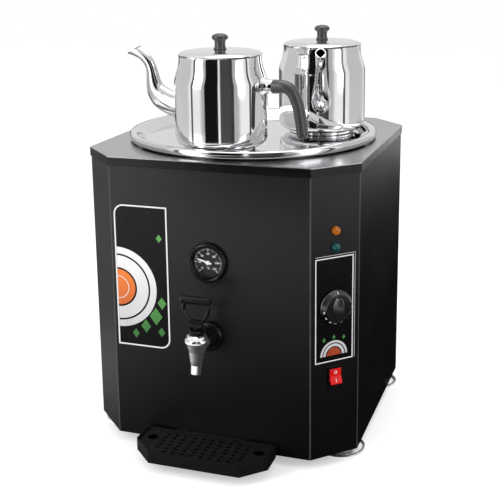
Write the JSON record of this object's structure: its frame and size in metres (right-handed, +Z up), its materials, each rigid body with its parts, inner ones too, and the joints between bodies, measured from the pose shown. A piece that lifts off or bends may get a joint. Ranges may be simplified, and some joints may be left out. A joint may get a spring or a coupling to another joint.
{
  "type": "tea boiler urn",
  "caption": "Octagonal black countertop hot water urn with a lever tap, dial thermometer, drip tray, thermostat knob, rocker switch and a dished lid carrying steel teapots.",
  "frame": {"origin": "on the surface the feet stand on, at the middle of the overall footprint", "axes": "+Z up, the tap and drip tray face -Y, +X to the right as seen from the front"},
  "size_m": [0.462, 0.553, 0.6693],
  "materials": {
    "black_enamel": "satin powder coat",
    "satin_steel": "brushed",
    "polished_steel": "mirror polished stainless steel",
    "zinc_steel": "zinc plated",
    "element_sheath": "dull heat-toned steel",
    "mineral_wool": "matte fibre",
    "brass": "turned",
    "copper": "drawn copper",
    "bakelite": "satin phenolic",
    "knob_plastic": "gunmetal gloss",
    "black_plastic": "semi-gloss",
    "dial_print": "matte print",
    "needle_white": "matte",
    "clear_glass": "clear",
    "tap_chrome": "bright chrome",
    "silicone": "matte",
    "tray_plastic": "fine satin",
    "amber_lens": "clear tinted",
    "green_lens": "clear tinted",
    "control_print": "printed film",
    "picture_print": "printed film",
    "switch_red": "translucent gloss",
    "terminal_white": "matte"
  },
  "bodies": {
    "urn": {"front_shell": "black_enamel", "rear_shell": "black_enamel", "top_frame": "black_enamel", "hob_plate": "satin_steel", "base_plate": "satin_steel", "tank": "satin_steel", "tray_bracket": "satin_steel", "tap_pin": "satin_steel", "tap_spring": "satin_steel", "foot_front_left": "polished_steel", "foot_front_right": "polished_steel", "foot_rear_left": "polished_steel", "foot_rear_right": "polished_steel", "gauge_case": "polished_steel", "foot_bolts": "zinc_steel", "heating_element": "element_sheath", "insulation_jacket": "mineral_wool", "element_nuts": "brass", "gauge_stem": "brass", "tap_nut": "brass", "thermostat_bulb": "copper", "limit_thermostat": "bakelite", "thermostat_body": "bakelite", "gauge_bezel": "black_plastic", "tap_escutcheon": "black_plastic", "tap_bonnet": "black_plastic", "switch_housing": "black_plastic", "cable_gland": "black_plastic", "gauge_dial": "dial_print", "gauge_glass": "clear_glass", "tap_body": "tap_chrome", "amber_lamp": "amber_lens", "green_lamp": "green_lens", "control_plate": "control_print", "picture_plate": "picture_print", "terminal_block": "terminal_white"},
    "tap_handle": {"tap_lever": "black_plastic"},
    "tap_plunger": {"tap_stem": "satin_steel", "tap_seat": "silicone"},
    "thermostat_dial": {"thermostat_knob": "knob_plastic"},
    "rocker": {"switch_rocker": "switch_red"},
    "needle": {"gauge_needle": "needle_white"},
    "tray": {"drip_tray": "tray_plastic"},
    "grid": {"drip_grid": "tray_plastic"},
    "lid": {"boiler_lid": "polished_steel", "lid_locator": "satin_steel"},
    "front_teapot": {"front_pot_body": "polished_steel", "front_pot_spout": "polished_steel", "front_pot_ferrule": "polished_steel", "front_pot_grip": "bakelite"},
    "front_teapot_lid": {"front_pot_lid": "polished_steel", "front_pot_knob": "bakelite"},
    "rear_teapot": {"rear_pot_body": "polished_steel", "rear_pot_spout": "polished_steel", "rear_pot_ferrule": "polished_steel", "rear_pot_grip": "bakelite"},
    "rear_teapot_lid": {"rear_pot_lid": "polished_steel", "rear_pot_knob": "bakelite"}
  },
  "joints": [
    {"name": "tap_lever_hinge", "type": "hinge", "parent": "urn", "child": "tap_handle", "pos_m": [0, -0.2475, 0.242], "axis": [1, 0, 0], "range_deg": [0, 35], "stiffness_Nm_per_rad": 0.08, "springref_deg": -22.92},
    {"name": "tap_stem_lift", "type": "slide", "parent": "urn", "child": "tap_plunger", "axis": [0, 0, 1], "range_m": [0, 0.0041], "deforming": ["tap_spring"]},
    {"name": "thermostat_turn", "type": "hinge", "parent": "urn", "child": "thermostat_dial", "pos_m": [0.1945, -0.163, 0.2644], "axis": [-0.7071, 0.7071, 0], "range_deg": [0, 280]},
    {"name": "switch_rock", "type": "hinge", "parent": "urn", "child": "rocker", "pos_m": [0.19415, -0.16265, 0.1508], "axis": [0.7071, 0.7071, 0], "range_deg": [0, 22]},
    {"name": "needle_swing", "type": "hinge", "parent": "urn", "child": "needle", "pos_m": [0, -0.1935, 0.326], "axis": [0, 1, 0], "range_deg": [-61.4, 208.6], "stiffness_Nm_per_rad": 0.0005},
    {"name": "tray_lift_off", "type": "slide", "parent": "urn", "child": "tray", "axis": [0, 0, 1], "range_m": [0, 0.07]},
    {"name": "grid_lift_out", "type": "slide", "parent": "tray", "child": "grid", "axis": [0, 0, 1], "range_m": [0, 0.04]},
    {"name": "lid_lift_off", "type": "slide", "parent": "urn", "child": "lid", "axis": [0, 0, 1], "range_m": [0, 0.15]},
    {"name": "front_teapot_lift", "type": "slide", "parent": "lid", "child": "front_teapot", "axis": [0, 0, 1], "range_m": [0, 0.2]},
    {"name": "front_teapot_lid_lift", "type": "slide", "parent": "front_teapot", "child": "front_teapot_lid", "axis": [0, 0, 1], "range_m": [0, 0.1]},
    {"name": "rear_teapot_lift", "type": "slide", "parent": "lid", "child": "rear_teapot", "axis": [0, 0, 1], "range_m": [0, 0.2]},
    {"name": "rear_teapot_lid_lift", "type": "slide", "parent": "rear_teapot", "child": "rear_teapot_lid", "axis": [0, 0, 1], "range_m": [0, 0.1]}
  ],
  "couplings": [
    {"joint": "tap_stem_lift", "follows": "tap_lever_hinge", "m_per_rad": 0.006548}
  ]
}
